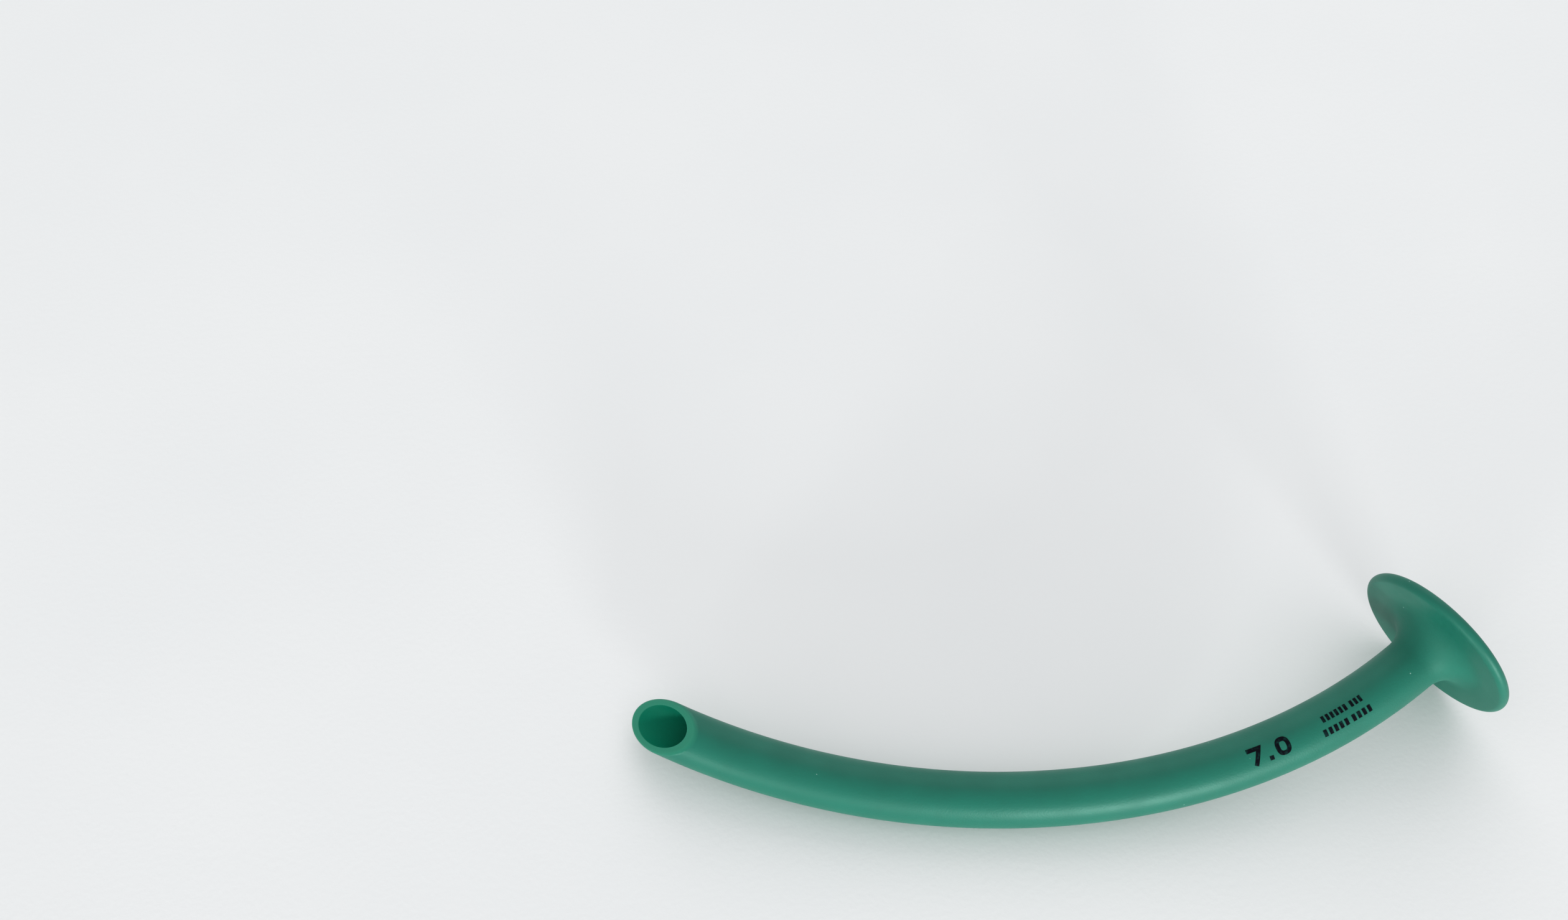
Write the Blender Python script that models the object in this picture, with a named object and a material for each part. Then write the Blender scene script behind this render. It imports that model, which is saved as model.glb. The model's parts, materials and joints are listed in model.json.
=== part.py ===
"""Nasopharyngeal airway, 28 French: one soft moulding of tube, flange and bevelled tip, lying at rest.

The shape is first made about its own middle line: the flange's outer face lies across the start of
that line, the tube leaves along -X and bends towards +Y, and the bevel at the far end faces +Z.
The finished moulding is then laid on the floor as its weight would leave it, with the bevel up, the
tip towards -X, the flange towards +X, and the origin under the middle of its box.
"""

import math

import bmesh
import bpy
import numpy as np
from mathutils import Matrix, Vector

MM = 0.001

# Tube
FRENCH_SIZE = 28  # outside diameter in thirds of a millimetre
BORE_DIAMETER = 7.0 * MM
TUBE_LENGTH = 141.0 * MM  # along the middle line, from the flange's outer face to the middle of the bevel
BEND_RADIUS = 137.0 * MM  # of the middle line, over the tip's half of the tube
NECK_STRAIGHT_LENGTH = 6.0 * MM  # from the flange's outer face, before the bend begins
NECK_BEND_RADIUS = 91.0 * MM  # of the middle line, where the bend begins
NECK_EASE_LENGTH = 66.0 * MM  # the tighter bend of the neck fades out over this length

# Flange
FLANGE_DIAMETER = 29.6 * MM
FLANGE_THICKNESS = 2.0 * MM  # its rim is a full half round
NECK_FILLET_RADIUS = 5.3 * MM  # between the tube and the flange
MOUTH_RADIUS = 2.5 * MM  # rounds the bore out into the flange's outer face

# Tip
BEVEL_ANGLE = math.radians(37.0)  # between the cut and the middle line
BEVEL_LEAN_LENGTH = 12.0 * MM  # the rings of the mesh lean over to the cut along this stretch
LIP_RADIUS = 0.7 * MM  # takes the sharp outer edge off the bevel

# Mesh
SIDES = 40  # corners of each ring
RING_SPACING = 5.2 * MM  # along the bend
ARC_STEPS = 4  # facets of a rounded edge
RIM_STEPS = 6  # facets of the flange's half-round rim
LINE_STEP = 0.2 * MM  # between the points that the middle line is worked out at

# Colour and gloss of the moulding
AIRWAY_GREEN = (0.043, 0.250, 0.190, 1.0)
AIRWAY_ROUGHNESS = 0.42

TUBE_RADIUS = FRENCH_SIZE * MM / 6.0
BORE_RADIUS = BORE_DIAMETER / 2.0
FLANGE_RADIUS = FLANGE_DIAMETER / 2.0
WALL = TUBE_RADIUS - BORE_RADIUS
LIP = min(LIP_RADIUS, 0.7 * WALL)


def middle_line():
    """Points along the middle line, from the flange's face on past the tip, with the heading at each."""
    distance = np.arange(0.0, TUBE_LENGTH + BEVEL_LEAN_LENGTH, LINE_STEP)
    past_neck = distance - NECK_STRAIGHT_LENGTH
    extra = 1.0 / NECK_BEND_RADIUS - 1.0 / BEND_RADIUS
    fade = np.clip(1.0 - past_neck / NECK_EASE_LENGTH, 0.0, 1.0)
    bend = np.where(past_neck < 0.0, 0.0, 1.0 / BEND_RADIUS + extra * fade)
    heading = np.concatenate([[0.0], np.cumsum((bend[1:] + bend[:-1]) / 2.0 * LINE_STEP)])
    x_steps = -(np.cos(heading[1:]) + np.cos(heading[:-1])) / 2.0 * LINE_STEP
    y_steps = (np.sin(heading[1:]) + np.sin(heading[:-1])) / 2.0 * LINE_STEP
    x = np.concatenate([[0.0], np.cumsum(x_steps)])
    y = np.concatenate([[0.0], np.cumsum(y_steps)])
    return distance, x, y, heading


DISTANCE, LINE_X, LINE_Y, HEADING = middle_line()


def on_line(distance):
    """The middle line's point and direction, this far from the flange's face."""
    point = Vector((np.interp(distance, DISTANCE, LINE_X), np.interp(distance, DISTANCE, LINE_Y), 0.0))
    heading = float(np.interp(distance, DISTANCE, HEADING))
    return point, Vector((-math.cos(heading), math.sin(heading), 0.0))


def around_line(distance, radius, angle):
    """A point this far out from the middle line, at this angle round it: 0 is +Z, the bevel's side."""
    point, along = on_line(distance)
    up = Vector((0.0, 0.0, 1.0))
    return point + radius * (math.cos(angle) * up + math.sin(angle) * along.cross(up))


def cut_distance(radius, angle):
    """Where the slanting plane of the bevel cuts the line of points at this radius and angle."""
    middle, along = on_line(TUBE_LENGTH)
    normal = math.sin(BEVEL_ANGLE) * along + math.cos(BEVEL_ANGLE) * Vector((0.0, 0.0, 1.0))
    distance = TUBE_LENGTH
    for _ in range(8):
        miss = (around_line(distance, radius, angle) - middle).dot(normal)
        distance -= miss / on_line(distance)[1].dot(normal)
    return distance


def ring_angles():
    return [2.0 * math.pi * side / SIDES for side in range(SIDES)]


def straight_ring(distance, radius):
    """A ring square to the middle line."""
    return [around_line(distance, radius, angle) for angle in ring_angles()]


def leaning_ring(radius, share, setback=0.0):
    """A ring this share of the way from square to lying in the cut, which it stops short of by the setback."""
    start = TUBE_LENGTH - BEVEL_LEAN_LENGTH
    ring = []
    for angle in ring_angles():
        reach = cut_distance(radius, angle) - setback - start
        ring.append(around_line(start + share * reach, radius, angle))
    return ring


def spaced(first, last):
    """Distances from first to last, both included, no further apart than the ring spacing."""
    count = max(1, math.ceil((last - first) / RING_SPACING))
    return [first + (last - first) * step / count for step in range(count + 1)]


def quarter():
    """Angles of a quarter turn, both ends included."""
    return [math.pi / 2.0 * step / ARC_STEPS for step in range(ARC_STEPS + 1)]


def mouth_rings():
    """From the flange's outer face, rounding into the bore."""
    rings = []
    for turn in quarter():
        distance = MOUTH_RADIUS * (1.0 - math.cos(turn))
        rings.append(straight_ring(distance, BORE_RADIUS + MOUTH_RADIUS * (1.0 - math.sin(turn))))
    return rings


def lean_shares():
    """How far over each leaning ring is, from the first one past the square ring to the cut."""
    count = math.ceil(BEVEL_LEAN_LENGTH / RING_SPACING) + 1
    return [(step + 1) / count for step in range(count)]


def bore_rings():
    """Down the bore to the cut's inner edge."""
    lean_start = TUBE_LENGTH - BEVEL_LEAN_LENGTH
    rings = [straight_ring(distance, BORE_RADIUS) for distance in spaced(MOUTH_RADIUS, lean_start)[1:]]
    rings += [leaning_ring(BORE_RADIUS, share) for share in lean_shares()]
    return rings


def lip_rings():
    """Over the bevel's face and round its outer edge, which a curve drawn inside the corner softens."""
    inner = leaning_ring(BORE_RADIUS, 1.0)
    corner = leaning_ring(TUBE_RADIUS, 1.0)
    back = leaning_ring(TUBE_RADIUS, 1.0, LIP)
    rings = []
    for step in range(ARC_STEPS):
        share = step / ARC_STEPS
        ring = []
        for inside, edge, behind in zip(inner, corner, back):
            face = edge + (inside - edge).normalized() * LIP
            ring.append((1 - share) ** 2 * face + 2 * share * (1 - share) * edge + share**2 * behind)
        rings.append(ring)
    return rings


def outside_rings():
    """Back along the outside of the tube to the fillet."""
    rings = [leaning_ring(TUBE_RADIUS, share, LIP) for share in reversed(lean_shares())]
    fillet_end = FLANGE_THICKNESS + NECK_FILLET_RADIUS
    lean_start = TUBE_LENGTH - BEVEL_LEAN_LENGTH
    for distance in reversed(spaced(fillet_end, lean_start)):
        rings.append(straight_ring(distance, TUBE_RADIUS))
    return rings


def flange_rings():
    """Up the fillet, out over the flange, round its rim and onto its outer face."""
    rings = []
    for turn in quarter()[1:]:
        distance = FLANGE_THICKNESS + NECK_FILLET_RADIUS * (1.0 - math.sin(turn))
        rings.append(straight_ring(distance, TUBE_RADIUS + NECK_FILLET_RADIUS * (1.0 - math.cos(turn))))
    rim = FLANGE_THICKNESS / 2.0
    for step in range(RIM_STEPS + 1):
        turn = math.pi * step / RIM_STEPS
        rings.append(straight_ring(rim + rim * math.cos(turn), FLANGE_RADIUS - rim + rim * math.sin(turn)))
    return rings


def closed_skin(rings):
    """One closed mesh whose rings are joined each to the next, and the last to the first."""
    skin = bmesh.new()
    loops = [[skin.verts.new(point) for point in ring] for ring in rings]
    for loop, following in zip(loops, loops[1:] + loops[:1]):
        for side in range(SIDES):
            after = (side + 1) % SIDES
            skin.faces.new((loop[side], loop[after], following[after], following[side]))
    bmesh.ops.recalc_face_normals(skin, faces=skin.faces)
    bmesh.ops.triangulate(skin, faces=skin.faces)
    return skin


def centre_of_mass(skin):
    """Centre of the solid, from the tetrahedra that its triangles make with the first vertex."""
    skin.verts.ensure_lookup_table()
    apex = skin.verts[0].co.copy()
    volume, moment = 0.0, Vector()
    for face in skin.faces:
        a, b, c = (vert.co - apex for vert in face.verts)
        part = a.dot(b.cross(c)) / 6.0
        volume += part
        moment += part * (a + b + c) / 4.0
    return apex + moment / volume


def stands_on(face, centre):
    """True if the weight, drawn straight down onto this face of the hull, lands inside it."""
    normal = face.normal
    corners = [vert.co for vert in face.verts]
    foot = centre - (centre - corners[0]).dot(normal) * normal
    for start, end in zip(corners, corners[1:] + corners[:1]):
        if (end - start).cross(foot - start).dot(normal) < 0.0:
            return False
    return True


def resting_up(skin):
    """The direction that points up once the moulding lies at rest with its bevel uppermost."""
    centre = centre_of_mass(skin)
    hull = bmesh.new()
    for vert in skin.verts:
        hull.verts.new(vert.co)
    bmesh.ops.convex_hull(hull, input=hull.verts)
    bmesh.ops.recalc_face_normals(hull, faces=hull.faces)
    lowest, up = math.inf, Vector((0.0, 0.0, 1.0))
    for face in hull.faces:
        height = (face.verts[0].co - centre).dot(face.normal)
        if face.normal.z < -0.5 and stands_on(face, centre) and height < lowest:
            lowest, up = height, -face.normal
    hull.free()
    return up


def laid_on_floor(skin):
    """Turns the moulding onto the floor, tip towards -X, with the origin under the middle of its box."""
    level = resting_up(skin).rotation_difference(Vector((0.0, 0.0, 1.0))).to_matrix().to_4x4()
    chord = level @ -on_line(TUBE_LENGTH)[0]
    turn = Matrix.Rotation(-math.atan2(chord.y, chord.x), 4, "Z")
    bmesh.ops.transform(skin, matrix=turn @ level, verts=skin.verts)
    places = np.array([vert.co for vert in skin.verts])
    low, high = places.min(axis=0), places.max(axis=0)
    under_middle = Vector((-(low[0] + high[0]) / 2.0, -(low[1] + high[1]) / 2.0, -low[2]))
    bmesh.ops.translate(skin, vec=under_middle, verts=skin.verts)


def soft_green_rubber():
    material = bpy.data.materials.new("soft_green_rubber")
    material.use_nodes = True
    shader = material.node_tree.nodes["Principled BSDF"]
    shader.inputs["Base Color"].default_value = AIRWAY_GREEN
    shader.inputs["Roughness"].default_value = AIRWAY_ROUGHNESS
    shader.inputs["Metallic"].default_value = 0.0
    return material


def build():
    for leftover in list(bpy.data.objects):
        bpy.data.objects.remove(leftover)
    skin = closed_skin(mouth_rings() + bore_rings() + lip_rings() + outside_rings() + flange_rings())
    laid_on_floor(skin)
    mesh = bpy.data.meshes.new("airway")
    skin.to_mesh(mesh)
    skin.free()
    mesh.shade_smooth()
    mesh.materials.append(soft_green_rubber())
    airway = bpy.data.objects.new("airway", mesh)
    bpy.context.scene.collection.objects.link(airway)


build()
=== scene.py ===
"""The looks of a nasopharyngeal airway: a soft green moulding with dark marks printed on its tube."""

import json
import math

import bpy
import numpy as np
from mathutils import Matrix, Vector


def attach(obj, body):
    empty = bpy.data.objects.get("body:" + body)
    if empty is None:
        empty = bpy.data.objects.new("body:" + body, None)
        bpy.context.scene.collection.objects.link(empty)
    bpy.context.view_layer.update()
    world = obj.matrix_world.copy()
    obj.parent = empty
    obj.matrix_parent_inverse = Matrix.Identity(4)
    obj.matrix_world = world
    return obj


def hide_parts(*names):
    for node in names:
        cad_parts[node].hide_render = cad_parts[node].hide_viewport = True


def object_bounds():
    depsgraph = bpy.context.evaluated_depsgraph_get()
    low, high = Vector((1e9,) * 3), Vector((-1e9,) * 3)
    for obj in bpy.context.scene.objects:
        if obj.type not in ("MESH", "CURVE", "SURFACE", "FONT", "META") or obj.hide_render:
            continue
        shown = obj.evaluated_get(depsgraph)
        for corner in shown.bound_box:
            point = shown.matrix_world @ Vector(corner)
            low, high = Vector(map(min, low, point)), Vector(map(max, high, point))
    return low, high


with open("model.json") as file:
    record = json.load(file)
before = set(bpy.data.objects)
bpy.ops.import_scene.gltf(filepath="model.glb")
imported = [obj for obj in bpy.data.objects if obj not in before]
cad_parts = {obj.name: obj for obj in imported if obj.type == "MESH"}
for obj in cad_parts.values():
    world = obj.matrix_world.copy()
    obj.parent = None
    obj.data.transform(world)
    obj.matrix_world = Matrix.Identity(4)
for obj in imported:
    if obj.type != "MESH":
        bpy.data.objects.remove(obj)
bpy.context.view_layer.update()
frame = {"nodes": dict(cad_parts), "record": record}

MM = 0.001

# The moulding, as the CAD has it
FRENCH_SIZE = 28.0  # outside diameter in thirds of a millimetre
TUBE_RADIUS = FRENCH_SIZE * MM / 6.0
BORE_RADIUS = 3.5 * MM
TUBE_LENGTH = 141.0 * MM  # along the middle line, from the flange's face to the middle of the bevel
BEND_RADIUS = 137.0 * MM
NECK_STRAIGHT_LENGTH = 6.0 * MM
NECK_BEND_RADIUS = 91.0 * MM
NECK_EASE_LENGTH = 66.0 * MM
FLANGE_RADIUS = 14.8 * MM
FLANGE_THICKNESS = 2.0 * MM  # its rim is a full half round
NECK_FILLET_RADIUS = 5.3 * MM
MOUTH_RADIUS = 2.5 * MM
BEVEL_ANGLE = math.radians(37.0)
BEVEL_LEAN_LENGTH = 12.0 * MM
LIP = 0.7 * MM  # how far the bevel's softened outer edge reaches, on the face and down the tube

# The finer surface
SIDES = 160
RING_SPACING = 1.0 * MM
ROUND_STEPS = 12
INNER_EDGE = 0.15 * MM  # softening of the bevel's inner edge
FACE_TOLERANCE = 0.02 * MM  # how near the flange's outer face the corners on it lie
LINE_STEP = 0.1 * MM  # between the points that the middle line is worked out at
INNER_EDGE_STEPS = 4

# The printed marks, placed by distance along the tube from the flange's face and by angle round it
INK_THICKNESS = 0.03 * MM
INK_STEP = 0.15 * MM  # along a stroke, between its rows of points
INK_ROW_POINTS = 6
FIGURE_START, FIGURE_FOOT = 40.8 * MM, math.radians(-19.5)
FIGURE_HEIGHT, FIGURE_STROKE = 3.05 * MM, 0.74 * MM
SEVEN_WIDTH, SEVEN_FOOT = 2.25 * MM, 0.9 * MM
POINT_PLACE = 3.75 * MM
ZERO_MIDDLE, ZERO_WIDTH = 6.2 * MM, 1.85 * MM
ZERO_POINTS, ZERO_PLUMPNESS = 48, 2.6  # a plumpness of 2 would be a plain ellipse
BAR_ROWS = (  # start, angle of the foot, height and spacing of the bars, and how many stand in each group
    (26.9 * MM, math.radians(5.5), 1.1 * MM, 0.86 * MM, (6, 3)),
    (27.7 * MM, math.radians(-22.0), 1.2 * MM, 1.01 * MM, (5, 4)),
)
BAR_SHARE = 0.64  # of the spacing, that a bar fills
BAR_GROUP_GAP = 0.4 * MM

# The camera, as the photograph was taken
FRAME_WIDTH, FOCAL_PIXELS = 2520.0, 2600.0
SENSOR_WIDTH = 36.0  # in millimetres, as lenses are given
NEAREST_SEEN, FURTHEST_SEEN = 0.01, 20.0
CAMERA_PLACE = Vector((-57.506 * MM, -102.091 * MM, 265.672 * MM))
CAMERA_ELEVATION, CAMERA_AZIMUTH = math.radians(58.369), math.radians(5.546)

# The studio
TABLE_REACH = 8.0  # from the middle to each side, in metres
ROOM_BRIGHTNESS = 0.73
ROOM_TINT = (0.98, 1.0, 1.02, 1.0)  # faintly cool
SOFTBOX_DISTANCE = 2.6
SOFTBOXES = (  # name, azimuth, elevation, width, height, brightness
    ("front_softbox", 14.0, 5.0, 0.82, 0.52, 0.88),
    ("left_softbox", -38.0, 4.5, 0.56, 0.39, 0.32),
    ("back_softbox", 165.0, 40.0, 3.0, 2.2, 0.24),
)

COLOURS = {"data_type": "RGBA"}  # for a mix of colours, where the plain one mixes numbers


def linear(hex_colour):
    """An sRGB hex colour as linear red, green, blue and alpha."""
    parts = [int(hex_colour[place:place + 2], 16) / 255.0 for place in (1, 3, 5)]
    return tuple(c / 12.92 if c <= 0.04045 else ((c + 0.055) / 1.055) ** 2.4 for c in parts) + (1.0,)


def middle_line():
    """Distances along the middle line, its points and its heading at each."""
    distance = np.arange(0.0, TUBE_LENGTH + BEVEL_LEAN_LENGTH, LINE_STEP)
    past_neck = distance - NECK_STRAIGHT_LENGTH
    extra = 1.0 / NECK_BEND_RADIUS - 1.0 / BEND_RADIUS
    fade = np.clip(1.0 - past_neck / NECK_EASE_LENGTH, 0.0, 1.0)
    bend = np.where(past_neck < 0.0, 0.0, 1.0 / BEND_RADIUS + extra * fade)
    heading = np.concatenate([[0.0], np.cumsum((bend[1:] + bend[:-1]) / 2.0 * LINE_STEP)])
    x_steps = -(np.cos(heading[1:]) + np.cos(heading[:-1])) / 2.0 * LINE_STEP
    y_steps = (np.sin(heading[1:]) + np.sin(heading[:-1])) / 2.0 * LINE_STEP
    x = np.concatenate([[0.0], np.cumsum(x_steps)])
    y = np.concatenate([[0.0], np.cumsum(y_steps)])
    return distance, x, y, heading


DISTANCE, LINE_X, LINE_Y, HEADING = middle_line()


def on_line(distance):
    """Points and directions of the middle line at these distances from the flange's face."""
    distance = np.asarray(distance, float)
    heading = np.interp(distance, DISTANCE, HEADING)
    level = np.zeros_like(distance)
    x = np.interp(distance, DISTANCE, LINE_X)
    y = np.interp(distance, DISTANCE, LINE_Y)
    return np.stack([x, y, level], -1), np.stack([-np.cos(heading), np.sin(heading), level], -1)


def around_line(distance, radius, angle):
    """Points this far out from the middle line, at these angles round it: 0 is the bevel's side."""
    distance, radius, angle = np.broadcast_arrays(distance, radius, angle)
    point, along = on_line(distance)
    up = np.array([0.0, 0.0, 1.0])
    outwards = np.cos(angle)[..., None] * up + np.sin(angle)[..., None] * np.cross(along, up)
    return point + radius[..., None] * outwards


ANGLES = np.arange(SIDES) * 2.0 * math.pi / SIDES


def cut_distance(radius, angle):
    """Where the slanting plane of the bevel cuts the lines of points at this radius and these angles."""
    middle, along = on_line(TUBE_LENGTH)
    normal = math.sin(BEVEL_ANGLE) * along + math.cos(BEVEL_ANGLE) * np.array([0.0, 0.0, 1.0])
    distance = np.full(np.shape(angle), TUBE_LENGTH)
    for _ in range(8):
        miss = (around_line(distance, radius, angle) - middle) @ normal
        distance = distance - miss / (on_line(distance)[1] @ normal)
    return distance


def straight_ring(distance, radius):
    """A ring square to the middle line."""
    return around_line(distance, radius, ANGLES)


def leaning_ring(radius, share, setback=0.0):
    """A ring this share of the way from square to lying in the cut, less the setback."""
    start = TUBE_LENGTH - BEVEL_LEAN_LENGTH
    reach = cut_distance(radius, ANGLES) - setback - start
    return around_line(start + share * reach, radius, ANGLES)


def spaced(first, last, spacing=RING_SPACING):
    """Values from first to last, both included, no further apart than the spacing."""
    return np.linspace(first, last, max(1, math.ceil(abs(last - first) / spacing)) + 1)


def quarter():
    """Angles of a quarter turn, both ends included."""
    return np.linspace(0.0, math.pi / 2.0, ROUND_STEPS + 1)


def softened_corner(before, corner, after, steps=ROUND_STEPS):
    """Rings of a curve drawn inside a corner, from the ring before it to the ring after it."""
    shares = np.linspace(0.0, 1.0, steps + 1)
    return [(1 - s) ** 2 * before + 2 * s * (1 - s) * corner + s**2 * after for s in shares]


def towards(start, end, length):
    """The start moved this far towards the end, point by point."""
    way = end - start
    return start + way / np.linalg.norm(way, axis=1)[:, None] * length


def bore_rings():
    """From the flange's face, rounding into the bore and down it to just short of the cut."""
    rings = []
    for turn in quarter():
        distance = MOUTH_RADIUS * (1.0 - math.cos(turn))
        rings.append(straight_ring(distance, BORE_RADIUS + MOUTH_RADIUS * (1.0 - math.sin(turn))))
    lean_start = TUBE_LENGTH - BEVEL_LEAN_LENGTH
    rings += [straight_ring(distance, BORE_RADIUS) for distance in spaced(MOUTH_RADIUS, lean_start)[1:]]
    shares = spaced(0.0, 1.0, RING_SPACING / BEVEL_LEAN_LENGTH)[1:-1]
    return rings + [leaning_ring(BORE_RADIUS, share, INNER_EDGE) for share in shares]


def bevel_rings():
    """Over the bevel's face, with its inner edge just broken and its outer edge well rounded."""
    inner = leaning_ring(BORE_RADIUS, 1.0)
    outer = leaning_ring(TUBE_RADIUS, 1.0)
    before = leaning_ring(BORE_RADIUS, 1.0, INNER_EDGE)
    rings = softened_corner(before, inner, towards(inner, outer, INNER_EDGE), INNER_EDGE_STEPS)
    return rings + softened_corner(towards(outer, inner, LIP), outer, leaning_ring(TUBE_RADIUS, 1.0, LIP))


def outside_rings():
    """Back along the outside of the tube to the fillet."""
    shares = spaced(1.0, 0.0, RING_SPACING / BEVEL_LEAN_LENGTH)[1:-1]
    rings = [leaning_ring(TUBE_RADIUS, share, LIP) for share in shares]
    lean_start = TUBE_LENGTH - BEVEL_LEAN_LENGTH
    places = spaced(lean_start, FLANGE_THICKNESS + NECK_FILLET_RADIUS)
    return rings + [straight_ring(distance, TUBE_RADIUS) for distance in places]


def flange_rings():
    """Up the fillet, out over the flange, round its rim and in over its outer face."""
    rings = []
    for turn in quarter()[1:]:
        distance = FLANGE_THICKNESS + NECK_FILLET_RADIUS * (1.0 - math.sin(turn))
        rings.append(straight_ring(distance, TUBE_RADIUS + NECK_FILLET_RADIUS * (1.0 - math.cos(turn))))
    rim = FLANGE_THICKNESS / 2.0
    flat_end = FLANGE_RADIUS - rim
    flat_places = spaced(TUBE_RADIUS + NECK_FILLET_RADIUS, flat_end)[1:-1]
    rings += [straight_ring(FLANGE_THICKNESS, radius) for radius in flat_places]
    for turn in np.linspace(0.0, math.pi, 2 * ROUND_STEPS + 1):
        rings.append(straight_ring(rim + rim * math.cos(turn), flat_end + rim * math.sin(turn)))
    face_places = spaced(flat_end, BORE_RADIUS + MOUTH_RADIUS)[1:-1]
    return rings + [straight_ring(0.0, radius) for radius in face_places]


def moulding_place():
    """Places the moulding's own axes in the frame: its mount lies on the flange's flat outer face,
    straight towards the bevel's side from the middle of that face."""
    mount = frame["record"]["mounts"][0]
    outwards = Vector(mount["axis"]).normalized()
    point = Vector(mount["pos_m"])
    corners = [corner.co for corner in frame["nodes"]["airway"].data.vertices]
    on_face = [corner for corner in corners if abs((corner - point).dot(outwards)) < FACE_TOLERANCE]
    places = {tuple(round(part, 6) for part in corner) for corner in on_face}
    middle = sum((Vector(place) for place in places), Vector()) / len(places)
    side = outwards.cross(middle - point).normalized()
    up = outwards.cross(side)
    place = Matrix((outwards, side, up)).transposed().to_4x4()
    place.translation = middle
    return place


PLACE = moulding_place()


def add_piece(name, points, faces, material):
    """A smooth mesh in the frame, made from points in the moulding's own axes, that rides on the root."""
    mesh = bpy.data.meshes.new(name)
    mesh.from_pydata([PLACE @ Vector(point) for point in points], [], faces)
    mesh.shade_smooth()
    mesh.materials.append(material)
    piece = bpy.data.objects.new(name, mesh)
    bpy.context.scene.collection.objects.link(piece)
    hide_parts("airway")
    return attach(piece, "root")


def grid_faces(rows, columns, closed=False):
    """Faces between points that lie row after row. A closed grid joins its last row and column
    to its first."""
    faces = []
    for row in range(rows if closed else rows - 1):
        here, there = row * columns, (row + 1) % rows * columns
        for column in range(columns if closed else columns - 1):
            after = (column + 1) % columns
            faces.append((here + column, there + column, there + after, here + after))
    return faces


def mark_rings(piece, name, places):
    """Gives each ring its share of a finish of its own: none, then whole, then none again."""
    ring = np.repeat(np.arange(len(piece.data.vertices) // SIDES), SIDES)
    shares = np.interp(ring, places, (0.0, 1.0, 1.0, 0.0))
    attribute = piece.data.attributes.new(name, "FLOAT", "POINT")
    attribute.data.foreach_set("value", shares.astype(np.float32))


def add_airway(material):
    bore, bevel = bore_rings(), bevel_rings()
    outside = outside_rings()
    rings = bore + bevel + outside + flange_rings()
    faces = grid_faces(len(rings), SIDES, closed=True)
    airway = add_piece("soft_airway", np.concatenate(rings), faces, material)
    # The four ring numbers say where each finish sets in, is whole, starts to fade and is gone.
    cut = len(bore)
    lip_end = cut + len(bevel) - 1
    lip = lip_end - ROUND_STEPS
    neck = cut + len(bevel) + len(outside)
    face = neck + ROUND_STEPS
    mark_rings(airway, "in_the_bore", (0, ROUND_STEPS, cut, cut + 3))
    mark_rings(airway, "cut_face", (cut, cut + 2, lip + 3, lip_end))
    mark_rings(airway, "lip", (lip, lip + 4, lip_end - 3, lip_end))
    mark_rings(airway, "fillet", (neck - 4, neck, face - 4, face))


def stroke(path, width, closed=False):
    """A stroke of even width along a path of corners, as rows of points across it."""
    path = np.asarray(path, float)
    if closed:
        path = np.concatenate([path, path[:1]])
    steps = np.diff(path, axis=0)
    lengths = np.linalg.norm(steps, axis=1)
    sideways = np.stack([-steps[:, 1], steps[:, 0]], 1) / lengths[:, None]
    before = np.concatenate([sideways[-1:] if closed else sideways[:1], sideways])
    after = np.concatenate([sideways, sideways[:1] if closed else sideways[-1:]])
    mitre = before + after
    mitre *= (2.0 / (mitre**2).sum(axis=1))[:, None]
    reach = np.concatenate([[0.0], np.cumsum(lengths)])
    places = np.unique(np.concatenate([reach, spaced(0.0, reach[-1], INK_STEP)]))
    middle = np.stack([np.interp(places, reach, path[:, axis]) for axis in (0, 1)], 1)
    across = np.stack([np.interp(places, reach, mitre[:, axis]) for axis in (0, 1)], 1)
    offsets = np.linspace(-width / 2.0, width / 2.0, INK_ROW_POINTS)
    return middle[:, None] + across[:, None] * offsets[None, :, None]


def oval(middle, width, height):
    """The path of a plump zero."""
    turns = np.arange(ZERO_POINTS) * 2.0 * math.pi / ZERO_POINTS
    bulge = 2.0 / ZERO_PLUMPNESS
    x = np.sign(np.cos(turns)) * np.abs(np.cos(turns)) ** bulge * width / 2.0
    y = np.sign(np.sin(turns)) * np.abs(np.sin(turns)) ** bulge * height / 2.0
    return np.stack([middle[0] + x, middle[1] + y], 1)


def figure_strokes():
    """The bore's size in millimetres, 7.0, in plain bold figures."""
    top = FIGURE_HEIGHT - FIGURE_STROKE / 2.0
    seven = [(0.0, top), (SEVEN_WIDTH, top), (SEVEN_FOOT, 0.0)]
    point = [(POINT_PLACE, 0.0), (POINT_PLACE, FIGURE_STROKE)]
    zero = oval((ZERO_MIDDLE, FIGURE_HEIGHT / 2.0), ZERO_WIDTH, FIGURE_HEIGHT - FIGURE_STROKE)
    strokes = [stroke(path, FIGURE_STROKE) for path in (seven, point)]
    return strokes + [stroke(zero, FIGURE_STROKE, closed=True)]


def bar_strokes(height, spacing, groups):
    """A row of plain upright bars that stand in groups."""
    strokes, place = [], spacing / 2.0
    for count in groups:
        for _ in range(count):
            strokes.append(stroke([(place, 0.0), (place, height)], BAR_SHARE * spacing))
            place += spacing
        place += BAR_GROUP_GAP
    return strokes


def add_print(name, strokes, start, foot, material):
    """Wraps strokes onto the tube. They run towards the flange and stand up towards the inside
    of the bend."""
    points, faces = [], []
    for rows in strokes:
        faces += [tuple(len(points) + corner for corner in face) for face in grid_faces(*rows.shape[:2])]
        flat = rows.reshape(-1, 2)
        angles = foot + flat[:, 1] / TUBE_RADIUS
        points.extend(around_line(start - flat[:, 0], TUBE_RADIUS + INK_THICKNESS, angles))
    return add_piece(name, points, faces, material)


def add_prints():
    ink = pad_printed_ink()
    add_print("size_figures", figure_strokes(), FIGURE_START, FIGURE_FOOT, ink)
    for number, (start, foot, height, spacing, groups) in enumerate(BAR_ROWS, 1):
        add_print(f"bar_row_{number}", bar_strokes(height, spacing, groups), start, foot, ink)


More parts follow.
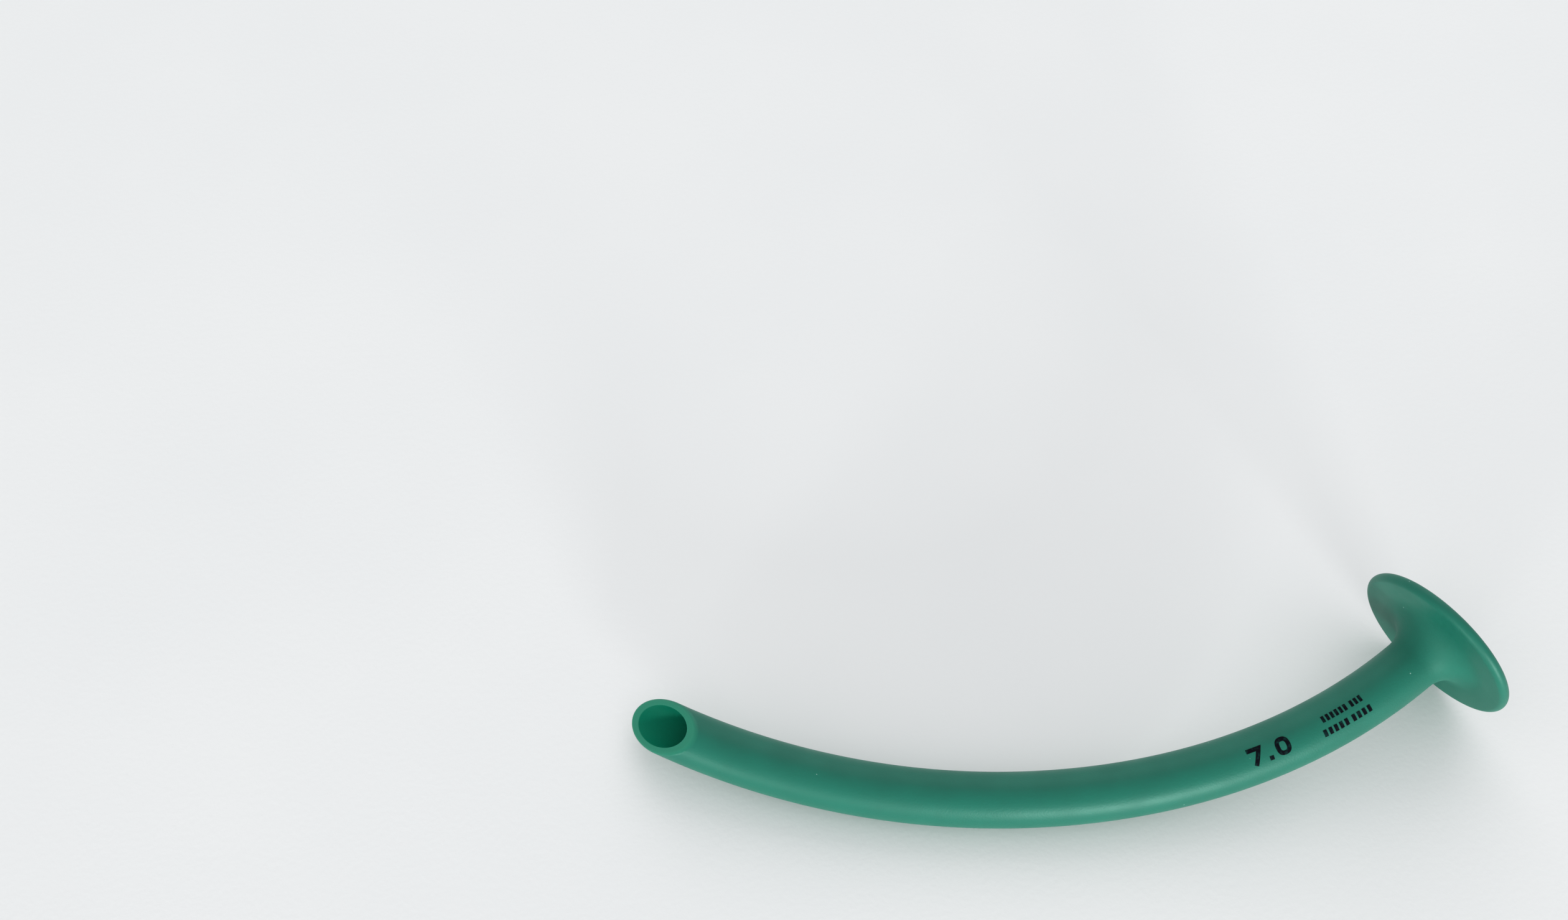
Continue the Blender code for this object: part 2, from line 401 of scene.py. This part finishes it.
def add_node(tree, kind, settings=None, **inputs):
    """Adds a node. Settings are the node's own. Each input is a value or the socket that feeds it,
    and goes by its name, or by its number after an underscore where names repeat."""
    node = tree.nodes.new("ShaderNode" + kind)
    for name, value in (settings or {}).items():
        setattr(node, name, value)
    for name, value in inputs.items():
        socket = node.inputs[int(name[1:]) if name[0] == "_" else name.replace("_", " ")]
        if isinstance(value, bpy.types.NodeSocket):
            tree.links.new(value, socket)
        else:
            socket.default_value = value
    return node


def new_material(name):
    """An empty material with its tree and the Principled shader that its finish goes into."""
    material = bpy.data.materials.new(name)
    material.use_nodes = True
    material.node_tree.nodes.clear()
    shader = add_node(material.node_tree, "BsdfPrincipled")
    add_node(material.node_tree, "OutputMaterial", Surface=shader.outputs["BSDF"])
    return material, material.node_tree, shader


def soft_moulded_rubber():
    """Plasticised rubber from a satin mould: an even green with a soft sheen, faint clouds where the
    mix isn't quite even, a fine grain, and the slow waves that a soft wall gets when it cools."""
    material, tree, shader = new_material("soft_moulded_rubber")
    place = add_node(tree, "TexCoord").outputs["Object"]
    cloud = add_node(tree, "TexNoise", Vector=place, Scale=1.0 / (6.0 * MM), Detail=2.0).outputs["Fac"]
    wave = add_node(tree, "TexNoise", Vector=place, Scale=1.0 / (9.0 * MM), Detail=0.0).outputs["Fac"]
    # Such a mould leaves a grain of 0.1 to 0.2 mm, too fine to show. It is drawn at 0.3 mm.
    grain = add_node(tree, "TexNoise", Vector=place, Scale=1.0 / (0.3 * MM), Detail=2.0).outputs["Fac"]
    bore = add_node(tree, "Attribute", {"attribute_name": "in_the_bore"}).outputs["Fac"]
    cut = add_node(tree, "Attribute", {"attribute_name": "cut_face"}).outputs["Fac"]
    lip = add_node(tree, "Attribute", {"attribute_name": "lip"}).outputs["Fac"]
    fillet = add_node(tree, "Attribute", {"attribute_name": "fillet"}).outputs["Fac"]

    green = add_node(tree, "Mix", COLOURS, _0=cloud, _6=linear("#125F4E"), _7=linear("#156B58"))
    # Painted light: the inside of the bore is coloured a brighter green, standing in for the light that
    # comes through the wall.
    bore_painted_light = add_node(tree, "Mix", COLOURS, _0=bore, _6=green.outputs[2], _7=linear("#067257"))
    # The cut face of the bevel is coloured a paler green than the rest of the moulding.
    face = add_node(tree, "Mix", COLOURS, _0=cut, _6=bore_painted_light.outputs[2], _7=linear("#288469"))
    # A few grains of dust, 0.2 mm across, as soft rubber always picks up.
    cells = add_node(tree, "TexVoronoi", Vector=place, Scale=1.0 / (4.0 * MM)).outputs["Distance"]
    dust = add_node(tree, "Math", {"operation": "LESS_THAN"}, _0=cells, _1=0.1 / 4.0).outputs[0]
    dusty = add_node(tree, "Mix", COLOURS, _0=dust, _6=face.outputs[2], _7=linear("#84AEA2"))
    tree.links.new(dusty.outputs[2], shader.inputs["Base Color"])

    sheen = add_node(tree, "MapRange", Value=cloud, From_Min=0.3, From_Max=0.7, To_Min=0.49, To_Max=0.43)
    # The mould is hard to polish where the fillet is, so the rubber comes out duller there.
    dull = add_node(tree, "Mix", _0=fillet, _2=sheen.outputs[0], _3=0.62).outputs[0]
    # The cut leaves its face matt, and buffing makes the lip round it smooth.
    matt = add_node(tree, "Mix", _0=cut, _2=dull, _3=0.65).outputs[0]
    buffed = add_node(tree, "Mix", _0=lip, _2=matt, _3=0.34).outputs[0]
    rough = add_node(tree, "Mix", _0=bore, _2=buffed, _3=0.65).outputs[0]
    tree.links.new(rough, shader.inputs["Roughness"])
    gloss = add_node(tree, "Mix", _0=bore, _2=0.42, _3=0.1).outputs[0]
    tree.links.new(gloss, shader.inputs["Specular IOR Level"])

    # The clear skin over the colour takes on some of it, so its highlights are faintly green.
    shader.inputs["Specular Tint"].default_value = linear("#CBFFF0")
    slow = add_node(tree, "Bump", Strength=1.0, Distance=0.15 * MM, Height=wave)
    fine = add_node(tree, "Bump", Strength=1.0, Distance=0.028 * MM, Height=grain)
    tree.links.new(slow.outputs[0], fine.inputs["Normal"])
    tree.links.new(fine.outputs[0], shader.inputs["Normal"])

    shader.inputs["Subsurface Weight"].default_value = 0.2
    shader.inputs["Subsurface Radius"].default_value = (0.3, 1.0, 0.7)
    shader.inputs["Subsurface Scale"].default_value = MM
    return material


def pad_printed_ink():
    """Flexible ink laid on by a pad: nearly black and flat, a little thin in places, where the green
    shows through, and slightly uneven as it has no mould surface of its own."""
    material, tree, shader = new_material("pad_printed_ink")
    place = add_node(tree, "TexCoord").outputs["Object"]
    patches = add_node(tree, "TexNoise", Vector=place, Scale=1.0 / (0.6 * MM), Detail=2.0).outputs["Fac"]
    thin = add_node(tree, "MapRange", Value=patches, From_Min=0.5, From_Max=0.8, To_Min=0.0, To_Max=0.5)
    colour = add_node(tree, "Mix", COLOURS, _0=thin.outputs[0], _6=linear("#04060E"), _7=linear("#0C4640"))
    tree.links.new(colour.outputs[2], shader.inputs["Base Color"])
    rough = add_node(tree, "MapRange", Value=patches, From_Min=0.3, From_Max=0.7, To_Min=0.45, To_Max=0.6)
    tree.links.new(rough.outputs[0], shader.inputs["Roughness"])
    shader.inputs["Specular IOR Level"].default_value = 0.06
    lumps = add_node(tree, "Bump", Strength=1.0, Distance=0.02 * MM, Height=patches)
    tree.links.new(lumps.outputs[0], shader.inputs["Normal"])
    return material


def pale_table():
    """A sheet of matt coated board: nearly white, with a soft tooth and faint uneven patches."""
    material, tree, shader = new_material("pale_table")
    place = add_node(tree, "TexCoord").outputs["Object"]
    patches = add_node(tree, "TexNoise", Vector=place, Scale=1.0 / (60.0 * MM), Detail=3.0).outputs["Fac"]
    # Such a board's tooth is about 0.1 mm, too fine to show. It is drawn at 1 mm.
    tooth = add_node(tree, "TexNoise", Vector=place, Scale=1.0 / (1.0 * MM), Detail=2.0).outputs["Fac"]
    white = add_node(tree, "Mix", COLOURS, _0=patches, _6=linear("#EFF0F0"), _7=linear("#F6F6F5"))
    tree.links.new(white.outputs[2], shader.inputs["Base Color"])
    shader.inputs["Roughness"].default_value = 0.8
    relief = add_node(tree, "Bump", Strength=1.0, Distance=0.02 * MM, Height=tooth)
    tree.links.new(relief.outputs[0], shader.inputs["Normal"])
    return material


def add_table():
    height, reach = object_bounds()[0].z, TABLE_REACH
    mesh = bpy.data.meshes.new("table")
    outline = ((-reach, -reach), (reach, -reach), (reach, reach), (-reach, reach))
    corners = [(x, y, height) for x, y in outline]
    mesh.from_pydata(corners, [], [(0, 1, 2, 3)])
    mesh.materials.append(pale_table())
    table = bpy.data.objects.new("table", mesh)
    bpy.context.scene.collection.objects.link(table)


def add_softbox(name, azimuth, elevation, width, height, brightness):
    """A softbox that faces the airway. Azimuth goes from the front to the right, and brightness is
    what white paper held square to its light would show."""
    azimuth, elevation = math.radians(azimuth), math.radians(elevation)
    level = math.cos(elevation)
    direction = Vector((math.sin(azimuth) * level, -math.cos(azimuth) * level, math.sin(elevation)))
    light = bpy.data.lights.new(name, "AREA")
    light.shape = "RECTANGLE"
    light.size, light.size_y = width, height
    light.energy = brightness * math.pi**2 * SOFTBOX_DISTANCE**2
    lamp = bpy.data.objects.new(name, light)
    lamp.location = direction * SOFTBOX_DISTANCE
    lamp.rotation_mode = "QUATERNION"
    lamp.rotation_quaternion = direction.to_track_quat("Z", "Y")
    bpy.context.scene.collection.objects.link(lamp)


def add_room_light():
    world = bpy.data.worlds.new("studio")
    world.use_nodes = True
    world.node_tree.nodes["Background"].inputs["Color"].default_value = ROOM_TINT
    world.node_tree.nodes["Background"].inputs["Strength"].default_value = ROOM_BRIGHTNESS
    bpy.context.scene.world = world


def add_camera():
    camera = bpy.data.cameras.new("camera")
    camera.sensor_width = SENSOR_WIDTH
    camera.lens = SENSOR_WIDTH * FOCAL_PIXELS / FRAME_WIDTH
    camera.clip_start, camera.clip_end = NEAREST_SEEN, FURTHEST_SEEN
    holder = bpy.data.objects.new("camera", camera)
    holder.location = CAMERA_PLACE
    holder.rotation_euler = (math.pi / 2.0 - CAMERA_ELEVATION, 0.0, -CAMERA_AZIMUTH)
    bpy.context.scene.collection.objects.link(holder)
    bpy.context.scene.camera = holder


def build():
    add_airway(soft_moulded_rubber())
    add_prints()
    add_table()
    add_camera()
    add_room_light()
    for softbox in SOFTBOXES:
        add_softbox(*softbox)
    bpy.context.scene.view_settings.view_transform = "Standard"


build()
